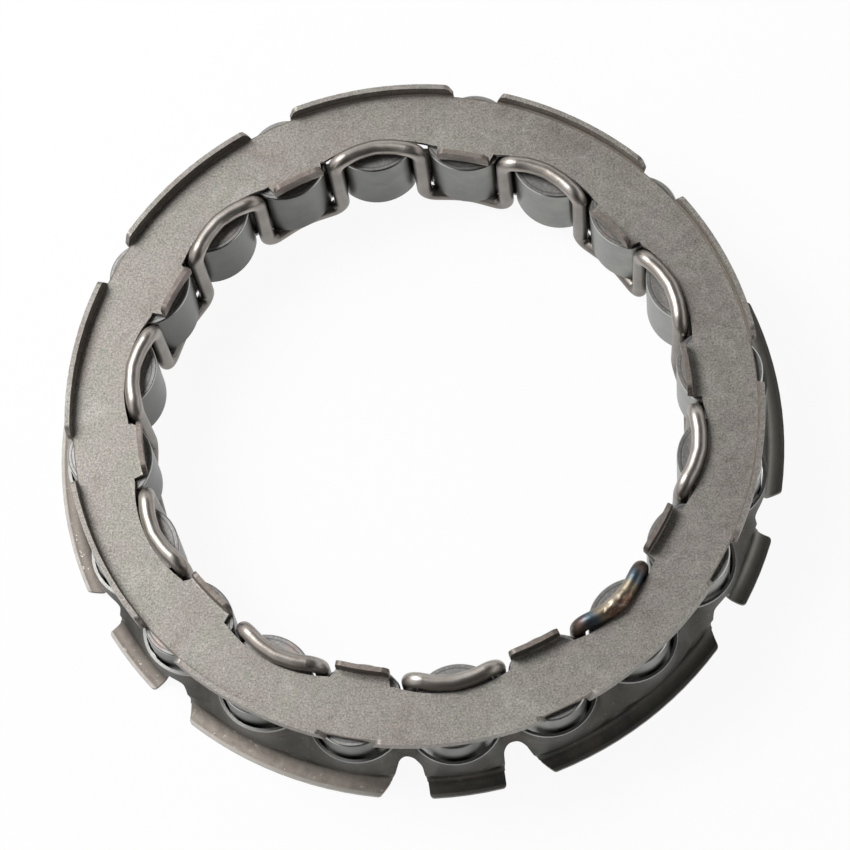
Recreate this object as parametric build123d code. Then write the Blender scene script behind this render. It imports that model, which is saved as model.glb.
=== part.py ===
from build123d import *
import math
import os

# Sprag clutch cage: a ring of twenty sprags between a pressed front plate and a
# flat rear plate, a fluted collar with a tabbed flange, and one serpentine wire
# spring.
# Millimetres. +Z is the clutch axis, and the flange's underside is at z = 0.
# Angles are measured clockwise from +Y, seen from the front (from +Z).

# Sprag ring
SPRAG_COUNT = 20
FIRST_SPRAG_ANGLE = -7.49
PITCH_RADIUS = 31.38
SPRAG_LENGTH = 8.43
END_CLEARANCE = 0.12
SPRAG_EDGE_CHAMFER = 0.14

# Sprag section: two cams whose centres are offset from the sprag's own axis,
# across the ring (x, clockwise) and along the radius (y, outwards). Each cam
# arc runs between two directions, clockwise from outwards, and smooth flanks
# join them.
OUTER_CAM_RADIUS = 3.95
OUTER_CAM_X = 0.40
OUTER_CAM_Y = 0.47
OUTER_CAM_START_ANGLE = -42.0
OUTER_CAM_END_ANGLE = 55.0
INNER_CAM_RADIUS = 4.90
INNER_CAM_X = -0.30
INNER_CAM_Y = 0.60
INNER_CAM_START_ANGLE = 140.0
INNER_CAM_END_ANGLE = 222.0

# Cage plates: how far their edges lie inside and outside the sprags' pitch
# circle, and the recesses that the wire's arches lie in
PLATE_SHEET = 0.50
PLATE_INNER_REACH = 2.03
PLATE_OUTER_REACH = 3.65
BEND_RADIUS = 0.15
RECESS_RADIUS = 12.9
RECESS_DEPTH = 0.80

# Upturned pilot lips on the front plate's outer edge
OUTER_LIP_RISE = 1.48
OUTER_LIP_HALF_ANGLE = 14.3
OUTER_LIP_END_SLOPE = 0.50
OUTER_LIP_CORNER = 0.60

# Turned lips on the front plate's inner tabs
TAB_LIP_REACH = 1.50
TAB_LIP_RISE = 1.65
TAB_ROOT_HALF_WIDTH = 3.05
TAB_LIP_HALF_WIDTH = 2.72
TAB_LIP_CORNER = 0.70

# Fluted collar that wraps the back halves of the sprags. Its valleys are
# sharp at the top edge and spread out into a plain round foot.
FLUTE_RADIUS = 4.58
FLUTE_LEAD_ANGLE = 0.55
FLUTE_CREST_OFFSET = 0.05
VALLEY_RADIUS = 1.35
LOW_FLANK_DROP = 0.42
LOW_VALLEY_DROP = 0.62
COLLAR_SHEET = 0.30
COLLAR_HEIGHT = 6.90
FOOT_INSET = 0.31
BAR_HALF_ANGLE = 2.0

# Tabbed flange. Each notch between two tabs is cut in plan through the flange
# and runs on up the collar's wall as a slot with a rounded top.
FLANGE_SHEET = 0.50
FLANGE_REACH = 1.52
FLANGE_DROP = 1.87
FLANGE_BEND = 1.30
TAB_PAIRS = 6
FIRST_NARROW_TAB_ANGLE = 112.6
NARROW_TAB_HALF_WIDTH = 3.90
WIDE_TAB_CORNER_X = 8.84
WIDE_TAB_CORNER_INSET = 1.23
NOTCH_X = 5.10
NOTCH_INSET = 3.68
NOTCH_RADIUS = 0.84
NOTCH_RISE = 1.00
SLOT_TOP = 4.70
SLOT_DEPTH = 1.15
SLOT_NEAR_FOOT = 1.50
SLOT_NEAR_TOP = 1.00
SLOT_FAR_FOOT = 2.50
SLOT_FAR_TOP = 1.15
SLOT_CORNER = 1.00
TAB_CORNER = 0.45

# Serpentine wire spring. Its legs stand between the sprags, a little behind
# the middle of each gap, and lean inwards towards the back.
WIRE_DIAMETER = 1.60
WIRE_LAG_ANGLE = 0.50
WIRE_FRONT_CLEARANCE = 0.30
WIRE_BACK_CLEARANCE = 0.10
WIRE_FRONT_INSET = 0.80
WIRE_BACK_INSET = 1.10
SHOULDER_BEND = 1.40
ARCH_GAP = 0.02
ARCH_KINK_BEND = 2.50
ARCH_SIDE_BEND = 6.00
ARCH_SIDE_ANGLE = 3.90
ARCH_SIDE_DROP = 0.20
LOW_BEND = 1.20
LOW_RUN_BEND = 12.0
LOW_RUN_INSET = 0.84

SPRAG_PITCH = 360 / SPRAG_COUNT
LIP_COUNT = SPRAG_COUNT // 2
TOUCH = 0.001
CUT_BEYOND = 2.0
DIAGONAL = math.sqrt(0.5)

# Radii
PLATE_INNER_RADIUS = PITCH_RADIUS - PLATE_INNER_REACH
PLATE_EDGE_RADIUS = PITCH_RADIUS + PLATE_OUTER_REACH
TAB_LIP_RADIUS = PLATE_INNER_RADIUS - TAB_LIP_REACH
CREST_RADIUS = PITCH_RADIUS + FLUTE_CREST_OFFSET + FLUTE_RADIUS + COLLAR_SHEET
FOOT_RADIUS = CREST_RADIUS - FOOT_INSET
FLANGE_RADIUS = CREST_RADIUS + FLANGE_REACH
WIDE_TAB_CORNER_Y = FLANGE_RADIUS - WIDE_TAB_CORNER_INSET
NOTCH_Y = FLANGE_RADIUS - NOTCH_INSET
NOTCH_ANGLE = math.degrees(math.atan2(NOTCH_X, NOTCH_Y))

# Heights, from the flange's underside up
FOOT_TOP = FLANGE_SHEET + FLANGE_BEND
REAR_PLATE_BOTTOM = FLANGE_DROP
REAR_PLATE_TOP = REAR_PLATE_BOTTOM + PLATE_SHEET
SPRAG_BOTTOM = REAR_PLATE_TOP + END_CLEARANCE
SPRAG_TOP = SPRAG_BOTTOM + SPRAG_LENGTH
FRONT_PLATE_BOTTOM = SPRAG_TOP + END_CLEARANCE
FRONT_PLATE_TOP = FRONT_PLATE_BOTTOM + PLATE_SHEET
WIRE_LOW = SPRAG_BOTTOM - WIRE_BACK_CLEARANCE - WIRE_DIAMETER / 2
WIRE_HIGH = SPRAG_TOP + WIRE_FRONT_CLEARANCE + WIRE_DIAMETER / 2


def polar(radius, angle):
    """A point at a clockwise angle from +Y."""
    turn = math.radians(angle)
    return (radius * math.sin(turn), radius * math.cos(turn))


def sprag_angle(number):
    """Angle of sprag 1 to SPRAG_COUNT."""
    return FIRST_SPRAG_ANGLE + SPRAG_PITCH * (number - 1)


def turned(shape, angle):
    """The shape, made at +Y, turned clockwise about the clutch axis."""
    return Rot(0, 0, -angle) * shape


def cam_arc(x, y, radius, start, stop):
    """A cam's arc, clockwise, with the direction of travel at its two ends."""
    points = []
    for angle in (start, (start + stop) / 2, stop):
        across, along = polar(radius, angle)
        points.append((x + across, y + along))
    return ThreePointArc(*points), polar(1, start + 90), polar(1, stop + 90)


def sprag_section():
    """The two-cam outline, about the sprag's own axis, with +Y outwards."""
    outer, outer_in, outer_out = cam_arc(OUTER_CAM_X, OUTER_CAM_Y, OUTER_CAM_RADIUS,
                                         OUTER_CAM_START_ANGLE, OUTER_CAM_END_ANGLE)
    inner, inner_in, inner_out = cam_arc(INNER_CAM_X, INNER_CAM_Y, INNER_CAM_RADIUS,
                                         INNER_CAM_START_ANGLE, INNER_CAM_END_ANGLE)
    right_flank = Spline(outer @ 1, inner @ 0, tangents=[outer_out, inner_in])
    left_flank = Spline(inner @ 1, outer @ 0, tangents=[inner_out, outer_in])
    return make_face([outer, right_flank, inner, left_flank])


def make_sprag(number):
    """One hardened sprag, standing between the two plates."""
    body = extrude(sprag_section(), SPRAG_LENGTH)
    ends = body.faces().sort_by(Axis.Z)
    body = chamfer(ends[0].edges() + ends[-1].edges(), SPRAG_EDGE_CHAMFER)
    return turned(Pos(0, PITCH_RADIUS, SPRAG_BOTTOM) * body, sprag_angle(number))


def flute_points(sheet):
    """The top outline as points, four for each flute: the crest arc's start and
    middle, and the valley arc's start and middle. sheet is 0 for the inner surface."""
    centre_radius = PITCH_RADIUS + FLUTE_CREST_OFFSET
    reach = FLUTE_RADIUS + COLLAR_SHEET + VALLEY_RADIUS
    half_pitch = math.radians(SPRAG_PITCH / 2)
    half_chord = centre_radius * math.sin(half_pitch)
    valley_centre = centre_radius * math.cos(half_pitch) + math.sqrt(reach**2 - half_chord**2)
    flute = FLUTE_RADIUS + sheet
    share = flute / reach
    points = []
    for number in range(1, SPRAG_COUNT + 1):
        angle = sprag_angle(number) + FLUTE_LEAD_ANGLE
        middle = Vector(*polar(centre_radius, angle))
        before = Vector(*polar(valley_centre, angle - SPRAG_PITCH / 2))
        after = Vector(*polar(valley_centre, angle + SPRAG_PITCH / 2))
        valley_floor = valley_centre - (reach - flute)
        points.append(middle + (before - middle) * share)
        points.append(Vector(*polar(centre_radius + flute, angle)))
        points.append(middle + (after - middle) * share)
        points.append(Vector(*polar(valley_floor, angle + SPRAG_PITCH / 2)))
    return points


def arcs_through(points, height):
    """A closed outline at a height, with one arc for each two points."""
    raised = [Vector(point.X, point.Y, height) for point in points]
    raised.append(raised[0])
    return [ThreePointArc(*raised[first:first + 3]) for first in range(0, len(points), 2)]


def flute_face(sheet):
    """The area inside the collar's top edge."""
    return make_face(arcs_through(flute_points(sheet), 0))


def flute_core(sheet):
    """The space inside the collar, from its round foot up to its fluted top edge."""
    crest = CREST_RADIUS - COLLAR_SHEET + sheet
    top = flute_points(sheet)
    low_radii = [crest - LOW_FLANK_DROP, crest, crest - LOW_FLANK_DROP, crest - LOW_VALLEY_DROP]
    low = [point.normalized() * low_radii[index % 4] for index, point in enumerate(top)]
    foot = [point.normalized() * (crest - FOOT_INSET) for point in top]
    sections = [
        arcs_through(foot, FOOT_TOP),
        arcs_through(low, SPRAG_BOTTOM),
        arcs_through(top, COLLAR_HEIGHT),
    ]
    return loft([make_face(section) for section in sections], ruled=True)


def bent_section(root, flat_end, side, rise):
    """Radius-height outline of a sheet with its top at 0 that turns up at flat_end."""
    inner = BEND_RADIUS
    outer = BEND_RADIUS + PLATE_SHEET
    lower_middle = (flat_end + side * outer * DIAGONAL, BEND_RADIUS - outer * DIAGONAL)
    upper_middle = (flat_end + side * inner * DIAGONAL, BEND_RADIUS - inner * DIAGONAL)
    far = flat_end + side * outer
    near = flat_end + side * inner
    edges = [
        Line((root, -PLATE_SHEET), (flat_end, -PLATE_SHEET)),
        ThreePointArc((flat_end, -PLATE_SHEET), lower_middle, (far, BEND_RADIUS)),
        Line((far, BEND_RADIUS), (far, rise)),
        Line((far, rise), (near, rise)),
        Line((near, rise), (near, BEND_RADIUS)),
        ThreePointArc((near, BEND_RADIUS), upper_middle, (flat_end, 0)),
        Line((flat_end, 0), (root, 0)),
        Line((root, 0), (root, -PLATE_SHEET)),
    ]
    return Plane.XZ * make_face(edges)


def revolved_at_y(section, angle):
    """A section revolved through an angle that is centred on +Y."""
    return Rot(0, 0, 90 - angle / 2) * revolve(section, Axis.Z, angle)


def seen_from_inside(outline, corner):
    """A prism along +Y whose two top corners are rounded, for trimming a lip's ends."""
    face = make_face(Polyline(*outline, close=True))
    face = fillet(face.vertices().group_by(Axis.Y)[-1], corner)
    return extrude(Plane.XZ * face, -FLANGE_RADIUS)


def outer_lip():
    """One upturned pilot lip at +Y."""
    root = PLATE_EDGE_RADIUS - PLATE_SHEET
    section = bent_section(root, PLATE_EDGE_RADIUS, 1, OUTER_LIP_RISE)
    lip = revolved_at_y(section, 2 * OUTER_LIP_HALF_ANGLE)
    half_width = PLATE_EDGE_RADIUS * math.sin(math.radians(OUTER_LIP_HALF_ANGLE))
    top_half_width = half_width - OUTER_LIP_END_SLOPE
    outline = [(-half_width, -PLATE_SHEET), (-half_width, 0), (-top_half_width, OUTER_LIP_RISE),
               (top_half_width, OUTER_LIP_RISE), (half_width, 0), (half_width, -PLATE_SHEET)]
    return lip & seen_from_inside(outline, OUTER_LIP_CORNER)


def tab_lip():
    """One inner tab at +Y with its upturned end."""
    back = TAB_LIP_RADIUS + PLATE_SHEET
    root = PLATE_INNER_RADIUS + PLATE_SHEET
    section = bent_section(root, back + BEND_RADIUS, -1, TAB_LIP_RISE)
    lip = revolved_at_y(section, SPRAG_PITCH)
    wide = TAB_ROOT_HALF_WIDTH
    tip = TAB_LIP_HALF_WIDTH
    plan = make_face(Polyline((-wide, root), (-wide, PLATE_INNER_RADIUS), (-tip, back), (-tip, 0),
                              (tip, 0), (tip, back), (wide, PLATE_INNER_RADIUS), (wide, root),
                              close=True))
    lip = lip & (Pos(0, 0, -PLATE_SHEET) * extrude(plan, PLATE_SHEET + TAB_LIP_RISE))
    outline = [(-wide, -PLATE_SHEET), (-wide, BEND_RADIUS), (-tip, BEND_RADIUS), (-tip, TAB_LIP_RISE),
               (tip, TAB_LIP_RISE), (tip, BEND_RADIUS), (wide, BEND_RADIUS), (wide, -PLATE_SHEET)]
    return lip & seen_from_inside(outline, TAB_LIP_CORNER)


def make_front_plate():
    """The visible plate: recesses over the odd sprags and pilot lips outside them,
    tabs over the even ones."""
    outline = Circle(PLATE_EDGE_RADIUS) - Circle(PLATE_INNER_RADIUS)
    recess = Pos(0, PLATE_INNER_RADIUS + RECESS_DEPTH - RECESS_RADIUS) * Circle(RECESS_RADIUS)
    for index in range(LIP_COUNT):
        outline = outline - turned(recess, sprag_angle(1 + 2 * index))
    plate = Pos(0, 0, -PLATE_SHEET) * extrude(outline, PLATE_SHEET)
    lip = outer_lip()
    tab = tab_lip()
    for index in range(LIP_COUNT):
        plate = plate + turned(lip, sprag_angle(1 + 2 * index))
        plate = plate + turned(tab, sprag_angle(2 + 2 * index))
    return Pos(0, 0, FRONT_PLATE_TOP) * plate


def tab_notch(side):
    """The cut between a narrow tab centred on +Y and the wide tab beside it."""
    beyond = FLANGE_RADIUS + CUT_BEYOND
    run = beyond - WIDE_TAB_CORNER_Y
    floor = NOTCH_Y - NOTCH_RADIUS
    slope = DIAGONAL * NOTCH_RADIUS
    outline = make_face(Polyline(
        (side * NARROW_TAB_HALF_WIDTH, beyond),
        (side * NARROW_TAB_HALF_WIDTH, NOTCH_Y + 2 * NOTCH_RADIUS),
        (side * (NOTCH_X - NOTCH_RADIUS), NOTCH_Y),
        (side * NOTCH_X, floor),
        (side * (NOTCH_X + slope), NOTCH_Y - slope),
        (side * WIDE_TAB_CORNER_X, WIDE_TAB_CORNER_Y),
        (side * (WIDE_TAB_CORNER_X + run), beyond),
        close=True))
    return extrude(outline + Pos(side * NOTCH_X, NOTCH_Y) * Circle(NOTCH_RADIUS), NOTCH_RISE)


def wall_slot(side):
    """The notch's upper part, through the collar's wall and the rear plate's edge."""
    outline = [(-side * SLOT_NEAR_FOOT, 0), (-side * SLOT_NEAR_TOP, SLOT_TOP),
               (side * SLOT_FAR_TOP, SLOT_TOP), (side * SLOT_FAR_FOOT, 0)]
    slot = Pos(0, NOTCH_Y - SLOT_DEPTH, 0) * seen_from_inside(outline, SLOT_CORNER)
    return turned(slot, side * NOTCH_ANGLE)


def notches(cutter):
    """A cut on both sides of every narrow tab."""
    return [turned(cutter(side), FIRST_NARROW_TAB_ANGLE + 360 / TAB_PAIRS * index)
            for index in range(TAB_PAIRS) for side in (-1, 1)]


def make_rear_plate():
    """The hidden plate, a flat ring behind the sprags that rests in the collar's foot."""
    valley = CREST_RADIUS - LOW_VALLEY_DROP
    share = (REAR_PLATE_TOP - FOOT_TOP) / (SPRAG_BOTTOM - FOOT_TOP)
    edge = FOOT_RADIUS + (valley - FOOT_RADIUS) * share - COLLAR_SHEET - TOUCH
    plate = extrude(Circle(edge) - Circle(PLATE_INNER_RADIUS), PLATE_SHEET)
    plate = Pos(0, 0, REAR_PLATE_BOTTOM) * plate
    return plate - notches(wall_slot)


def flange_ring():
    """The flat flange and the round bend that carries it up into the collar's foot."""
    inner_wall = FOOT_RADIUS - COLLAR_SHEET
    flat = FOOT_RADIUS + FLANGE_BEND
    under_bend = flat - inner_wall
    over_middle = (flat - FLANGE_BEND * DIAGONAL, FOOT_TOP - FLANGE_BEND * DIAGONAL)
    under_middle = (flat - under_bend * DIAGONAL, under_bend - under_bend * DIAGONAL)
    edges = [
        Line((flat, 0), (FLANGE_RADIUS, 0)),
        Line((FLANGE_RADIUS, 0), (FLANGE_RADIUS, FLANGE_SHEET)),
        Line((FLANGE_RADIUS, FLANGE_SHEET), (flat, FLANGE_SHEET)),
        ThreePointArc((flat, FLANGE_SHEET), over_middle, (FOOT_RADIUS, FOOT_TOP)),
        Line((FOOT_RADIUS, FOOT_TOP), (inner_wall, FOOT_TOP)),
        Line((inner_wall, FOOT_TOP), (inner_wall, under_bend)),
        ThreePointArc((inner_wall, under_bend), under_middle, (flat, 0)),
    ]
    return revolve(Plane.XZ * make_face(edges), Axis.Z, 360)


def make_tab_ring():
    """The flange with six narrow and six wide tabs, its fluted collar and the bars."""
    ring = flange_ring() + (flute_core(COLLAR_SHEET) - flute_core(0))
    ring = ring - (notches(tab_notch) + notches(wall_slot))
    tips = [edge for edge in ring.edges().filter_by(Axis.Z)
            if abs(math.hypot(edge.center().X, edge.center().Y) - FLANGE_RADIUS) < TOUCH]
    ring = fillet(tips, TAB_CORNER)
    wall = flute_face(COLLAR_SHEET) - flute_face(0)
    wedge = make_face(Polyline((0, 0), polar(FLANGE_RADIUS, -BAR_HALF_ANGLE),
                               polar(FLANGE_RADIUS, BAR_HALF_ANGLE), close=True))
    valley = sprag_angle(1) + FLUTE_LEAD_ANGLE + SPRAG_PITCH / 2
    bar = extrude(wall & turned(wedge, valley), FRONT_PLATE_BOTTOM - COLLAR_HEIGHT)
    bar = Pos(0, 0, COLLAR_HEIGHT) * bar
    return ring + [turned(bar, SPRAG_PITCH * index) for index in range(SPRAG_COUNT)]


def make_spring():
    """The closed wire: over one sprag's front end, then under the next one's back."""
    front = PLATE_INNER_RADIUS - WIRE_FRONT_INSET
    back = PLATE_INNER_RADIUS - WIRE_BACK_INSET
    apex = PLATE_INNER_RADIUS + RECESS_DEPTH - ARCH_GAP - WIRE_DIAMETER / 2
    arch = sprag_angle(1) - WIRE_LAG_ANGLE
    run = arch + SPRAG_PITCH
    start = arch - SPRAG_PITCH / 2
    middle = arch + SPRAG_PITCH / 2
    end = run + SPRAG_PITCH / 2
    half_way = ((front + back) / 2, (WIRE_LOW + WIRE_HIGH) / 2)
    route = [
        (*polar(half_way[0], start), half_way[1]),
        (*polar(front, start), WIRE_HIGH),
        (*polar(apex - ARCH_SIDE_DROP, arch - ARCH_SIDE_ANGLE), WIRE_HIGH),
        (*polar(apex, arch), WIRE_HIGH),
        (*polar(apex - ARCH_SIDE_DROP, arch + ARCH_SIDE_ANGLE), WIRE_HIGH),
        (*polar(front, middle), WIRE_HIGH),
        (*polar(back, middle), WIRE_LOW),
        (*polar(PLATE_INNER_RADIUS - LOW_RUN_INSET, run), WIRE_LOW),
        (*polar(back, end), WIRE_LOW),
        (*polar(half_way[0], end), half_way[1]),
    ]
    bends = [SHOULDER_BEND, ARCH_SIDE_BEND, ARCH_KINK_BEND, ARCH_SIDE_BEND, SHOULDER_BEND,
             LOW_BEND, LOW_RUN_BEND, LOW_BEND]
    path = FilletPolyline(*route, radius=bends)
    circle = Plane(origin=path @ 0, z_dir=path % 0) * Circle(WIRE_DIAMETER / 2)
    wave = sweep(circle, path=path)
    waves = [turned(wave, 2 * SPRAG_PITCH * index) for index in range(LIP_COUNT)]
    return waves[0].fuse(*waves[1:])


parts = {
    "front_plate": make_front_plate(),
    "rear_plate": make_rear_plate(),
    "tab_ring": make_tab_ring(),
    "wire_spring": make_spring(),
}
for number in range(1, SPRAG_COUNT + 1):
    parts[f"sprag_{number:02d}"] = make_sprag(number)

os.makedirs("parts", exist_ok=True)
for name, shape in parts.items():
    export_step(shape, f"parts/{name}.step")
    print(name, len(shape.solids()), "solid", round(shape.volume, 2), "mm3")
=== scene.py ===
# %% [markdown]
# # A sprag clutch cage
# A one-way clutch lets a shaft turn freely one way and locks it the other way. Twenty small
# steel cams, the sprags, stand in a ring and wedge between two races. What keeps them apart is
# a cage: two plates, a fluted collar with a tabbed flange, and one long bent wire.
# The shapes come from the CAD model as fixed nodes, so this lesson is mostly about steel: how
# one metal looks when it is blasted, pressed, ground, drawn and heated.

# %% Load the cage
import math

import bpy
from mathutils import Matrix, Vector


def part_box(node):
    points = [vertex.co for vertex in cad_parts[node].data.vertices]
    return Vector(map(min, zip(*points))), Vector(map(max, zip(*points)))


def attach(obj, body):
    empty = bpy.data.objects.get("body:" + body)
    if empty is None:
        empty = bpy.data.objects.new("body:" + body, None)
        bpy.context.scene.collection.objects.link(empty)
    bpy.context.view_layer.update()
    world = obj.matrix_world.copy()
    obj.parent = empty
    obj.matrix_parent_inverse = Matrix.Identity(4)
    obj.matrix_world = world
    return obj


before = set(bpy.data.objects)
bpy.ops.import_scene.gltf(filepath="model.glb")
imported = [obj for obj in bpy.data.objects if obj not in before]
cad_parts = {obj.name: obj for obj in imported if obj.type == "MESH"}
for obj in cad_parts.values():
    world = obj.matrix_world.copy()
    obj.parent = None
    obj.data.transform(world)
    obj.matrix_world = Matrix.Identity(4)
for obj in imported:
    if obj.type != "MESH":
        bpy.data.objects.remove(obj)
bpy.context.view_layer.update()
MM = 0.001
plate_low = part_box("front_plate")[0]
sprag_low, sprag_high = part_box("sprag_01")

# %% [markdown]
# ## The camera
# The picture looks down on the ring from the front and a little from the right, through a long
# lens. A long lens keeps the ring nearly round, and the little perspective that is left makes
# the near side look slightly larger. Where the camera stands and how it leans were found by
# lining up the twenty sprags and both edges of the plate.

# %% Place the camera
PICTURE_SIDE = 850
FOCAL_LENGTH_PIXELS = 4041.82
CAMERA_PLACE = (0.025701, -0.140092, 0.398084)
CAMERA_LEAN = (0.34328, 0.06352, 0)
bpy.ops.object.camera_add(location=CAMERA_PLACE, rotation=CAMERA_LEAN)
camera = bpy.context.object
camera.data.sensor_width = 36
camera.data.lens = camera.data.sensor_width * FOCAL_LENGTH_PIXELS / PICTURE_SIDE
camera.data.clip_start = 0.01
camera.data.clip_end = 20
bpy.context.scene.camera = camera
bpy.context.scene.view_settings.view_transform = "Standard"
print("lens:", round(camera.data.lens, 1), "mm")

# %% [markdown]
# ## Values that vary over a surface
# A material is a net of nodes. Written as sums, a net stays readable: a Field stands for one
# socket, and an expression such as 1 - mask adds the Math node that works it out. Any other
# kind of node comes from one method, which takes its settings first and then its sockets.


# %% Fields
class Field:
    """One value, vector or colour that varies over a surface."""

    def __init__(self, tree, socket):
        self.tree = tree
        self.socket = socket

    def node(self, kind, settings, sockets, output=0):
        """Adds a node. A ramp's stops are (place, colour) pairs among its settings."""
        made = self.tree.nodes.new(kind)
        for name, value in settings.items():
            if name == "stops":
                while len(made.color_ramp.elements) < len(value):
                    made.color_ramp.elements.new(1)
                for stop, (place, colour) in zip(made.color_ramp.elements, value):
                    stop.position = place
                    stop.color = (*colour, 1)
            else:
                setattr(made, name, value)
        for name, value in sockets.items():
            if isinstance(value, Field):
                self.tree.links.new(value.socket, made.inputs[name])
            else:
                made.inputs[name].default_value = value
        return Field(self.tree, made.outputs[output])

    def maths(self, operation, *values):
        """A Math node on these values."""
        return self.node("ShaderNodeMath", {"operation": operation}, dict(enumerate(values)))

    def vector_maths(self, operation, sockets, output=0):
        """A Vector Math node with these sockets."""
        return self.node("ShaderNodeVectorMath", {"operation": operation}, sockets, output)

    def __add__(self, other):
        return self.maths("ADD", self, other)

    def __radd__(self, other):
        return self.maths("ADD", other, self)

    def __sub__(self, other):
        return self.maths("SUBTRACT", self, other)

    def __rsub__(self, other):
        return self.maths("SUBTRACT", other, self)

    def __mul__(self, other):
        return self.maths("MULTIPLY", self, other)

    def __rmul__(self, other):
        return self.maths("MULTIPLY", other, self)

    def __truediv__(self, other):
        return self.maths("DIVIDE", self, other)

    def __rtruediv__(self, other):
        return self.maths("DIVIDE", other, self)

    def rises(self, low, high):
        """0 below low, 1 above high, and a smooth step between them."""
        return self.node("ShaderNodeMapRange", {"interpolation_type": "SMOOTHSTEP"},
                         {0: self, 1: low, 2: high})

    def falls(self, low, high):
        """1 below low, 0 above high, and a smooth step between them."""
        return 1 - self.rises(low, high)

    def band(self, low, high, soft):
        """1 between low and high, with soft edges outside them."""
        return self.rises(low - soft, low) * self.falls(high, high + soft)

    def noise(self, per_mm, detail=2.0, roughness=0.5, distortion=0.0):
        """Cloudy noise, from 0 to 1, with this many cells to a millimetre. self is a place."""
        return self.node("ShaderNodeTexNoise", {},
                         {"Vector": self, "Scale": per_mm, "Detail": detail,
                          "Roughness": roughness, "Distortion": distortion})

    def stretched(self, x, y, z):
        """This place with its three directions scaled."""
        return self.vector_maths("MULTIPLY", {0: self, 1: (x, y, z)})

    def ramp(self, *stops):
        """A colour for each value, from (place, colour) stops."""
        return self.node("ShaderNodeValToRGB", {"stops": stops}, {"Fac": self})

    def mixed(self, other, share):
        """This colour with a share of another one over it."""
        other = other if isinstance(other, Field) else (*other, 1)
        return self.node("ShaderNodeMix", {"data_type": "RGBA"}, {0: share, 6: self, 7: other}, 2)

    def times(self, shade):
        """This colour made lighter or darker by a value."""
        return self.vector_maths("SCALE", {0: self, "Scale": shade})

    def along(self, axis):
        """One of this vector's three numbers: 0, 1 or 2."""
        return self.node("ShaderNodeSeparateXYZ", {}, {0: self}, axis)


# %% [markdown]
# ## Where on the ring
# The pieces repeat twenty times round the axis, so their finishes are easier to write in the
# ring's own terms: the radius, the height, and the place across each sprag. Every piece's
# object sits at the origin, so the Object coordinates are places in the whole cage. They are
# taken in millimetres, which keeps the numbers near those on a drawing.

# %% Sizes of the ring, in millimetres
SPRAG_COUNT = 20
SPRAG_PITCH = 2 * math.pi / SPRAG_COUNT
FIRST_SPRAG_ANGLE = math.radians(-7.49)
PITCH_RADIUS = 31.38
SPRAG_BOTTOM = sprag_low.z / MM
SPRAG_TOP = sprag_high.z / MM
SPRAG_CHAMFER = 0.14
PLATE_SHEET = 0.50
PLATE_TOP = plate_low.z / MM + PLATE_SHEET
LIP_INNER_RADIUS = 35.18
LIP_OUTER_RADIUS = 35.68
TAB_LIP_RADIUS = 27.85
COLLAR_TOP = 6.90
FLANGE_SHEET = 0.50
FLANGE_BEND_TOP = 1.80
FLANGE_RADIUS = 37.83
print("plate top:", round(PLATE_TOP, 2), "sprags:", round(SPRAG_BOTTOM, 2), round(SPRAG_TOP, 2))


# %% Ring places
def ring_radius(place):
    """Distance from the clutch axis."""
    level = place.stretched(1, 1, 0)
    return level.vector_maths("LENGTH", {0: level}, 1)


def ring_angle(place):
    """Clockwise angle from +Y in radians, seen from the front."""
    return place.maths("ARCTAN2", place.along(0), place.along(1))


def sprag_place(place):
    """How far across and how far outwards a place is from the middle of its own sprag."""
    radius = ring_radius(place)
    turns = (ring_angle(place) - FIRST_SPRAG_ANGLE) / SPRAG_PITCH
    own = (turns - turns.maths("ROUND", turns)) * SPRAG_PITCH
    across = radius * own.maths("SINE", own)
    outwards = radius * own.maths("COSINE", own) - PITCH_RADIUS
    return across, outwards


# %% Helpers for a material
def start_steel(name):
    """A new material, its shader, and the place on the surface in millimetres."""
    material = bpy.data.materials.new(name)
    material.use_nodes = True
    tree = material.node_tree
    shader = tree.nodes["Principled BSDF"]
    shader.inputs["Metallic"].default_value = 1.0
    coordinates = tree.nodes.new("ShaderNodeTexCoord")
    place = Field(tree, coordinates.outputs["Object"]).stretched(1 / MM, 1 / MM, 1 / MM)
    return material, shader, place


def bumped(height, strength, depth):
    """A normal from a height field; depth is in millimetres."""
    return height.node("ShaderNodeBump", {}, {"Strength": strength, "Distance": depth * MM,
                                              "Height": height})


def feed(shader, **fields):
    """Links fields to the shader's sockets, whose names are written with underscores."""
    for name, field in fields.items():
        field.tree.links.new(field.socket, shader.inputs[name.replace("_", " ")])


def paint(material, *nodes):
    """Gives CAD nodes a material in place of the plain one that they came with."""
    for name in nodes:
        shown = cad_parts[name]
        shown.data.materials.clear()
        shown.data.materials.append(material)
    print(material.name, "on", len(nodes), "nodes")


# %% [markdown]
# ## Blasted plate steel
# The plates are stamped from sheet and then blasted, which leaves a fine, even speckle with no
# grain in any direction. Under it the sheet is stained in soft patches, some mauve or brown and
# some greenish. An image texture could show this, but it would stretch round the bends. Noise
# at three sizes doesn't: patches about 6 mm wide, clouds of 1 mm and specks of a fifth of a
# millimetre. A finer noise picks the specks that glint, and their glint is painted in as a
# bright colour. Along the foot of the upturned lips dirt and painted crease shade darken the
# sheet, the tabs' turned faces are browned, and handling has scuffed the outer faces of the lips
# bright.

# %% Plate steel
PLATE_STAINS = ((0.34, (0.315, 0.288, 0.262)), (0.47, (0.362, 0.334, 0.310)),
                (0.56, (0.335, 0.324, 0.288)), (0.68, (0.402, 0.382, 0.352)))
PAINTED_GLINT = (0.62, 0.59, 0.56)
LIP_FOOT_DIRT_AND_SHADE = (0.225, 0.195, 0.168)
BROWNED_TAB = (0.175, 0.138, 0.122)
SCUFFED_LIP = (0.56, 0.525, 0.50)

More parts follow.
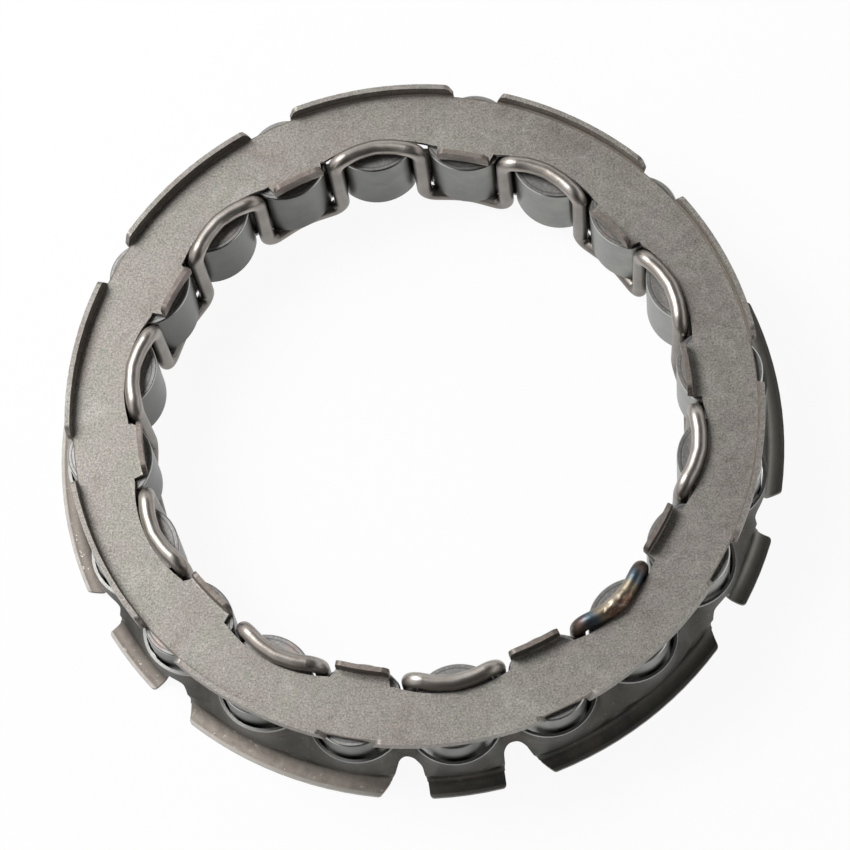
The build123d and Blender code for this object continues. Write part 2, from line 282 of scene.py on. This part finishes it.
plate_steel, shader, place = start_steel("blasted_plate")
radius = ring_radius(place)
height = place.along(2)
clouds = place.noise(1.1, 4, 0.65)
specks = place.noise(4.6, 3, 0.85)
glints = place.noise(6.0, 1, 0.9).rises(0.66, 0.76)
grain = 0.57 + clouds * 0.54 + (specks - 0.5) * 2.0
lip_foot = (height.band(PLATE_TOP - 0.02, PLATE_TOP + 0.45, 0.15)
            * radius.band(LIP_INNER_RADIUS - 0.20, LIP_INNER_RADIUS + 0.22, 0.10))
tab_face = (height.rises(PLATE_TOP + 0.20, PLATE_TOP + 0.50)
            * radius.falls(TAB_LIP_RADIUS + 0.75, TAB_LIP_RADIUS + 1.05))
lip_outside = radius.rises(LIP_OUTER_RADIUS - 0.08, LIP_OUTER_RADIUS - 0.02)
scuffs = place.stretched(1, 1, 2.2).noise(2.2, 4, 0.8).rises(0.46, 0.66) * lip_outside

blasted = place.noise(0.16, 3, 0.6, 0.6).ramp(*PLATE_STAINS).times(grain)
# Painted highlight: the glinting specks are given a bright colour.
blasted = blasted.mixed(PAINTED_GLINT, glints * 0.28)
# Dirt and painted shade: the crease at the foot of each lip is darkened.
blasted = blasted.mixed(LIP_FOOT_DIRT_AND_SHADE, lip_foot * (0.405 + clouds * 0.72))
blasted = blasted.mixed(BROWNED_TAB, tab_face * (clouds * 1.5 - 0.15))
blasted = blasted.mixed(SCUFFED_LIP, scuffs * 0.55)
dullness = 0.58 + (clouds - 0.5) * 0.25 - glints * 0.12 + lip_foot * 0.2
pits = bumped(specks * 0.7 + clouds * 0.3, 0.35, 0.06)
feed(shader, Base_Color=blasted, Roughness=dullness, Normal=pits)
paint(plate_steel, "front_plate", "rear_plate")

# %% [markdown]
# ## Pressed ring steel
# The tabbed ring is drawn from smoother sheet and oiled, so it is darker and more satin than
# the plates, with faint brown stains, and its colour is darkened further as a painted reflection
# of the dark floor close by it. The flange's flat top is painted lighter, as the light falls on
# it. The flange took the wear. Its tabs at the left are rubbed light and brownish and painted
# lighter still as the side that faces the lamp, most of all on the near side, and on the tab at
# the far right the oil has dried pale. Small dings, painted bright as glints, lie all over it.
# The collar's top edge and the tips of the tabs are cut edges, bare and brighter, with their
# edge highlight painted in. Such wear and light can be painted by hand. Here masks on the
# height, the radius and the side do it, because each worn and each lit place is a plain zone of
# the ring.

# %% Where the ring is worn
RUBBED_LIT_SIDE = (-7.0, 2.5)
NEAR_LIT_SIDE = (-35.0, -22.0)
DRY_SIDE = (31.0, 34.0)

ring_steel, shader, place = start_steel("pressed_ring")
radius = ring_radius(place)
height = place.along(2)
mottle = place.noise(1.1, 4, 0.65)
flange = height.falls(FLANGE_SHEET + 0.10, FLANGE_BEND_TOP + 0.10)
flat = height.falls(FLANGE_SHEET + 0.02, FLANGE_SHEET + 0.45)
# Wear and painted light: the tabs at the left, which face the lamp, are made lighter, more so on the
# near side.
rubbed_and_lit = place.along(0).falls(*RUBBED_LIT_SIDE) * flange
near = place.along(1).falls(*NEAR_LIT_SIDE) * rubbed_and_lit
dry = place.along(0).rises(*DRY_SIDE) * flange
dings_and_glints = place.stretched(1, 1, 0.5).noise(2.6, 2, 0.8).rises(0.62, 0.74) * (0.2 + rubbed_and_lit)
top_edge = height.band(COLLAR_TOP - 0.28, COLLAR_TOP + 0.01, 0.08)
tips = radius.rises(FLANGE_RADIUS - 0.43, FLANGE_RADIUS - 0.25)
print("ring masks:", len(ring_steel.node_tree.nodes), "nodes")

# %% Ring steel
# Stain colours, kept very dark as a painted reflection of the dark floor that the ring mirrors.
RING_STAINS_AND_DARK_REFLECTION = ((0.32, (0.060, 0.060, 0.053)), (0.50, (0.078, 0.075, 0.067)),
               (0.66, (0.105, 0.094, 0.083)))
RUBBED_LIT_STEEL = ((0.30, (0.190, 0.168, 0.148)), (0.70, (0.295, 0.266, 0.237)))
DRIED_OIL = (0.270, 0.262, 0.236)
DING_GLINT = (0.66, 0.62, 0.57)
CUT_EDGE_HIGHLIGHT = (0.40, 0.40, 0.385)
TAB_TIP_HIGHLIGHT = (0.30, 0.285, 0.265)
RUBBED_LIT_TIP = (0.62, 0.59, 0.55)

# Painted light: the flange's flat top is made lighter, as the light falls on it.
satin = place.noise(0.22, 4, 0.6, 0.8).ramp(*RING_STAINS_AND_DARK_REFLECTION).times(0.78 + mottle * 0.52 + flat * 0.75)
# Painted light with wear: lighter rubbed steel at the left, lighter still on the near side.
satin = satin.mixed(mottle.ramp(*RUBBED_LIT_STEEL), rubbed_and_lit).times(1 + near * 0.55)
satin = satin.mixed(DRIED_OIL, dry * (0.4 + mottle * 0.9))
# Dings painted bright as glints.
satin = satin.mixed(DING_GLINT, dings_and_glints * 0.6)
# Painted highlight: the cut top edge of the collar is made light, as it catches the light.
satin = satin.mixed(CUT_EDGE_HIGHLIGHT, top_edge * 0.8)
# Cut tips of the tabs: bare edges with a painted highlight, lightest at the left.
satin = satin.mixed(TAB_TIP_HIGHLIGHT, tips * 0.8).mixed(RUBBED_LIT_TIP, tips * rubbed_and_lit * 0.6)
dullness = 0.38 + mottle * 0.20 + rubbed_and_lit * 0.20 + flat * (1 - rubbed_and_lit) * 0.24 - dings_and_glints * 0.1
ripples = bumped(mottle + place.noise(6.0, 2, 0.6) * 0.25, 0.22, 0.08)
feed(shader, Base_Color=satin, Roughness=dullness, Normal=ripples)
paint(ring_steel, "tab_ring")

# %% [markdown]
# ## Ground sprag steel
# Sprags are hardened and then ground, the smoothest surface here: a cool grey with a soft
# sheen. The cams show only faint marks along the sprag. The flat ends are lapped instead, a
# little lighter, with a chamfered rim painted bright as a highlight, a fine turned line inside
# it, and now and then a trace of brown from the hardening. The rim and the line follow the
# sprag's outline, so they are measured from its two cams, once for all twenty. The cams' grey
# carries painted reflection and shade: it is darker at the left of the ring, where it darkens
# further towards the sprags' feet, lighter at the right and towards each sprag's clockwise side.
# The outer part of each end is painted lighter, as a reflection of the bright floor.

# %% The sprag's outline
# Each cam's centre, across and outwards from the sprag's middle, and then its radius
OUTER_CAM = (0.40, 0.47, 3.95)
INNER_CAM = (-0.30, 0.60, 4.90)


def cam_depth(across, outwards, cam):
    """How far inside a cam's surface a place lies."""
    cam_across, cam_outwards, cam_radius = cam
    side = across - cam_across
    out = outwards - cam_outwards
    squared = side * side + out * out
    return cam_radius - squared.maths("SQRT", squared)


def towards_ends(height, far, near):
    """0 in the middle of a sprag, and 1 nearer than near to either of its ends."""
    return (height.rises(SPRAG_TOP - far, SPRAG_TOP - near)
            + height.falls(SPRAG_BOTTOM + near, SPRAG_BOTTOM + far))


sprag_steel, shader, place = start_steel("ground_sprag")
across, outwards = sprag_place(place)
height = place.along(2)
outer_half = outwards.rises(-0.5, 0.5)
depth = (cam_depth(across, outwards, OUTER_CAM) * outer_half
         + cam_depth(across, outwards, INNER_CAM) * (1 - outer_half))
end_face = towards_ends(height, 0.02, 0)
chamfer = depth.falls(0.02, 0.12) * towards_ends(height, SPRAG_CHAMFER + 0.02, SPRAG_CHAMFER - 0.02)
turned_line = depth.band(0.42, 0.52, 0.05)
print("sprag masks:", len(sprag_steel.node_tree.nodes), "nodes")

# %% Sprag steel
GROUND_GREY = ((0.35, (0.140, 0.145, 0.135)), (0.62, (0.185, 0.188, 0.174)))
LAPPED_GREY = ((0.35, (0.20, 0.195, 0.188)), (0.65, (0.31, 0.302, 0.292)))
HARDENING_BROWN = (0.42, 0.27, 0.22)
LINE_GREY = (0.13, 0.13, 0.13)
CHAMFER_HIGHLIGHT = (0.78, 0.78, 0.76)
LEFT_TO_RIGHT = (-32.0, 34.0)

cloud = place.noise(0.5, 3, 0.5)
lap = place.noise(3.2, 3, 0.7)
marks = place.stretched(1, 1, 0.04).noise(7.0, 2, 0.6)
# Painted reflection and shade: the cams are darker at the left of the ring and lighter at the right.
to_the_right = place.along(0).rises(*LEFT_TO_RIGHT)
ground = cloud.ramp(*GROUND_GREY)
# Also painted lighter towards each sprag's clockwise side.
ground = ground.times(0.42 + to_the_right * 0.85 + across.rises(-3.5, 3.0) * 0.18 + marks * 0.16)
# Painted shade: at the left the cams darken towards their feet.
ground = ground.times(1 - height.falls(SPRAG_BOTTOM, SPRAG_TOP) * (1 - to_the_right) * 0.45)
# Painted light: the outer part of each end is lighter, as a reflection of the bright floor.
lapped = lap.ramp(*LAPPED_GREY).times(1 + outwards.rises(2.8, 3.6) * 0.15)
lapped = lapped.mixed(HARDENING_BROWN, place.noise(0.18, 2, 0.5).rises(0.60, 0.72) * 0.35)
lapped = lapped.mixed(LINE_GREY, turned_line * 0.75)
# Painted highlight on the chamfered rim.
steel = ground.mixed(lapped, end_face).mixed(CHAMFER_HIGHLIGHT, chamfer * 0.75)
scratches = bumped(marks * (1 - end_face) + lap * end_face - turned_line * 2, 0.12, 0.04)
feed(shader, Base_Color=steel, Roughness=0.28 + cloud * 0.12 + end_face * 0.12, Normal=scratches)
paint(sprag_steel, *[f"sprag_{number:02d}" for number in range(1, SPRAG_COUNT + 1)])

# %% [markdown]
# ## Drawn spring wire
# The wire is drawn through a die and then bent, so it is the brightest steel and nearly as
# smooth as the sprags, with a faint brown temper colour and tiny marks where the bending tool
# gripped it. Its legs, down among the sprags, are painted darker than its arches as shade. One
# arch was cut and butt welded to close the ring. The heat ran both ways along the wire from the
# weld and left rust red, straw, brown and blue, each where the steel reached that heat. A ramp
# over the plain distance from the weld gives the bands, because the wire runs nearly straight
# that far.

# %% The heat of the weld
WELDED_SPRAG = 9
WIRE_LAG = math.radians(0.5)
WELD_ANGLE = FIRST_SPRAG_ANGLE + SPRAG_PITCH * (WELDED_SPRAG - 1) - WIRE_LAG
WIRE_RADIUS = 0.80
WIRE_CLEARANCE = 0.30
WIRE_HIGH = SPRAG_TOP + WIRE_CLEARANCE + WIRE_RADIUS
ARCH_APEX = 29.307
HEAT_REACH = 6.0
TEMPER = ((0.00, (0.400, 0.335, 0.285)), (0.22, (0.400, 0.345, 0.265)),
          (0.38, (0.300, 0.255, 0.180)), (0.47, (0.170, 0.190, 0.200)),
          (0.56, (0.105, 0.145, 0.175)), (0.66, (0.110, 0.098, 0.105)),
          (0.76, (0.130, 0.092, 0.074)), (0.92, (0.200, 0.165, 0.140)))
RUST = (0.215, 0.085, 0.056)
RUST_SIDE = (29.2, 29.5)
weld_place = (ARCH_APEX * math.sin(WELD_ANGLE), ARCH_APEX * math.cos(WELD_ANGLE), WIRE_HIGH)
print("weld at:", [round(number, 2) for number in weld_place])


def heated(colour, place):
    """Temper colours on the wire, by the distance from the weld, and the heat's mask."""
    apart = place.vector_maths("DISTANCE", {0: place, 1: weld_place}, 1)
    apart = apart + (place.noise(0.9, 3, 0.6) - 0.5) * 0.9
    rust = place.noise(0.9, 3, 0.7).rises(0.42, 0.54)
    rust = rust * ring_radius(place).rises(*RUST_SIDE) * apart.falls(1.2, 2.6)
    temper = (apart / HEAT_REACH).ramp(*TEMPER).times(0.70 + place.noise(3.0, 2, 0.7) * 0.6)
    temper = temper.mixed(RUST, rust * 0.75)
    warm = apart.falls(HEAT_REACH - 1.2, HEAT_REACH - 0.2)
    return colour.mixed(temper, warm), warm


# %% Spring wire
DRAWN_STEEL = ((0.35, (0.350, 0.316, 0.284)), (0.65, (0.450, 0.420, 0.388)))
GRIP_MARK = (0.20, 0.165, 0.140)

spring_wire, shader, place = start_steel("drawn_wire")
lit_arches = place.along(2).rises(WIRE_HIGH - 1.62, WIRE_HIGH - 0.02)
# Painted shade: the legs among the sprags are darker than the arches.
drawn = place.noise(0.35, 3, 0.5).ramp(*DRAWN_STEEL).times(0.60 + lit_arches * 0.38)
drawn = drawn.mixed(GRIP_MARK, place.noise(2.4, 3, 0.8).rises(0.58, 0.68) * 0.5)
coloured, warm = heated(drawn, place)
dullness = 0.32 + place.noise(1.2, 2, 0.5) * 0.14 + warm * 0.04
die_marks = bumped(place.noise(2.4, 3, 0.7), 0.14, 0.07)
feed(shader, Base_Color=coloured, Roughness=dullness, Normal=die_marks)
paint(spring_wire, "wire_spring")

# %% [markdown]
# ## The butt weld
# Where the wire's ends were pressed together hot, the metal was squeezed out a little and
# flattened by the clamps, so the wire has a low lumpy sleeve there. A cylinder would have to be
# bent to the arch, and a torus has that bend from the start. It is cut down to a short arc by
# two planes, swollen towards its middle and roughened by a cloud texture. It sits round the
# wire at the arch's top, so it rides with the cage.

# %% Sleeve sizes, in millimetres
ARCH_BEND = 7.30
SLEEVE_HALF_TURN = math.radians(17)
SLEEVE_SUNK = 0.02
SLEEVE_SWELL = 0.22
SLEEVE_RINGS = 360
SLEEVE_SIDES = 36
LUMP_SIZE = 0.7
LUMP_DEPTH = 0.24
LUMP_MIDDLE = 0.6

# %% A short arc of torus
bpy.ops.object.select_all(action="DESELECT")
bpy.ops.mesh.primitive_torus_add(major_radius=ARCH_BEND * MM, major_segments=SLEEVE_RINGS,
                                 minor_radius=(WIRE_RADIUS - SLEEVE_SUNK) * MM,
                                 minor_segments=SLEEVE_SIDES)
sleeve = bpy.context.object
sleeve.name = "weld_sleeve"
bpy.ops.object.mode_set(mode="EDIT")
for side in (-1, 1):
    end = side * SLEEVE_HALF_TURN
    bpy.ops.mesh.select_all(action="SELECT")
    bpy.ops.mesh.bisect(plane_co=(0, 0, 0), plane_no=(side * math.cos(end), -side * math.sin(end), 0),
                        clear_outer=True, use_fill=True)
bpy.ops.object.mode_set(mode="OBJECT")
print("arc of torus:", len(sleeve.data.vertices), "points")

# %% Swell and roughen it
for point in sleeve.data.vertices:
    turn = math.atan2(point.co.x, point.co.y)
    spine = Vector((math.sin(turn), math.cos(turn), 0)) * ARCH_BEND * MM
    bulge = math.cos(turn / SLEEVE_HALF_TURN * math.pi / 2) ** 2
    point.co = spine + (point.co - spine) * (1 + SLEEVE_SWELL * bulge)
lumps = bpy.data.textures.new("weld_lumps", "CLOUDS")
lumps.noise_scale = LUMP_SIZE * MM
roughen = sleeve.modifiers.new("lumps", "DISPLACE")
roughen.texture = lumps
roughen.strength = LUMP_DEPTH * MM
roughen.mid_level = LUMP_MIDDLE
bpy.ops.object.modifier_apply(modifier=roughen.name)
bpy.ops.object.shade_smooth()
print("sleeve swollen by", round(SLEEVE_SWELL * WIRE_RADIUS, 2), "mm, lumps of", LUMP_DEPTH, "mm")

# %% Set it on the wire
sleeve.location = (0, (ARCH_APEX - ARCH_BEND) * MM, 0)
bpy.ops.object.transform_apply()
sleeve.rotation_euler = (0, 0, -WELD_ANGLE)
sleeve.location = (0, 0, WIRE_HIGH * MM)
bpy.ops.object.transform_apply()
sleeve.data.materials.append(spring_wire)
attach(sleeve, "cage")
print("weld sleeve:", [round(side / MM, 2) for side in sleeve.dimensions], "mm")

# %% [markdown]
# ## Floor and background
# The cage lies on a white surface. The camera sees it as nearly pure white, and metal mirrors
# it as white too. Other light meets a plain pale floor, which keeps the object's shadow. The
# Light Path node tells the two apart, and the world behind uses the same trick.

# %% Floor
FLOOR_SIDE = 6
FLOOR_WHITENESS = 0.93


def plain(name, grey, roughness):
    """A material of one even grey."""
    material = bpy.data.materials.new(name)
    material.use_nodes = True
    shader = material.node_tree.nodes["Principled BSDF"]
    shader.inputs["Base Color"].default_value = (grey, grey, grey, 1)
    shader.inputs["Roughness"].default_value = roughness
    return material


def seen_directly(tree):
    """1 where the camera, a mirror or a pane looks, and 0 for plain light."""
    rays = tree.nodes.new("ShaderNodeLightPath")
    seen = Field(tree, rays.outputs["Is Camera Ray"])
    for name in ("Is Glossy Ray", "Is Transmission Ray"):
        seen = seen.maths("MAXIMUM", seen, Field(tree, rays.outputs[name]))
    return seen


bpy.ops.mesh.primitive_plane_add(size=FLOOR_SIDE)
floor = bpy.context.object
floor.name = "floor"
pale = plain("pale_floor", 0.85, 0.9)
tree = pale.node_tree
white = tree.nodes.new("ShaderNodeEmission")
mix = tree.nodes.new("ShaderNodeMixShader")
tree.links.new((seen_directly(tree) * FLOOR_WHITENESS).socket, mix.inputs[0])
tree.links.new(tree.nodes["Principled BSDF"].outputs[0], mix.inputs[1])
tree.links.new(white.outputs[0], mix.inputs[2])
tree.links.new(mix.outputs[0], tree.nodes["Material Output"].inputs["Surface"])
floor.data.materials.append(pale)
print("floor:", FLOOR_SIDE, "m wide")

# %% World
ROOM_LIGHT = 0.75
world = bpy.data.worlds.new("studio")
bpy.context.scene.world = world
world.use_nodes = True
tree = world.node_tree
backdrop = tree.nodes["Background"]
backdrop.inputs["Color"].default_value = (1, 1, 1, 1)
strength = ROOM_LIGHT + seen_directly(tree) * (1 - ROOM_LIGHT)
tree.links.new(strength.socket, backdrop.inputs["Strength"])
print("room light:", ROOM_LIGHT)

# %% [markdown]
# ## Cards and lamp
# Steel shows its form by what it mirrors, so the ring needs something dark to mirror as well as
# the white room, which no lamp can give. As in a product studio, one black card hangs overhead
# and one stands in front, and a soft box lights the cage from the gap at the upper left.

# %% Black cards
CARD_SIDE = 1.6
black = plain("black_card", 0.03, 0.5)


def black_card(name, place, tilt):
    """A card that the steel mirrors and the camera doesn't see."""
    bpy.ops.mesh.primitive_plane_add(size=CARD_SIDE, location=place, rotation=(tilt, 0, 0))
    card = bpy.context.object
    card.name = name
    card.visible_camera = False
    card.data.materials.append(black)
    print(name, "at", place)


black_card("overhead_card", (0.35, 0.1, 0.9), 0)
black_card("front_card", (0.35, -0.8, 0.82), math.pi / 2)

# %% Soft box
KEY_PLACE = (-0.21, 0.085, 0.31)
KEY_SIDE = 0.18
KEY_WATTS = 1.30
bpy.ops.object.light_add(type="AREA", location=KEY_PLACE)
key = bpy.context.object
key.name = "key_left"
key.data.size = KEY_SIDE
key.data.energy = KEY_WATTS
key.rotation_euler = Vector(KEY_PLACE).to_track_quat("Z", "Y").to_euler()
key.visible_camera = False
print(key.name, KEY_WATTS, "W")
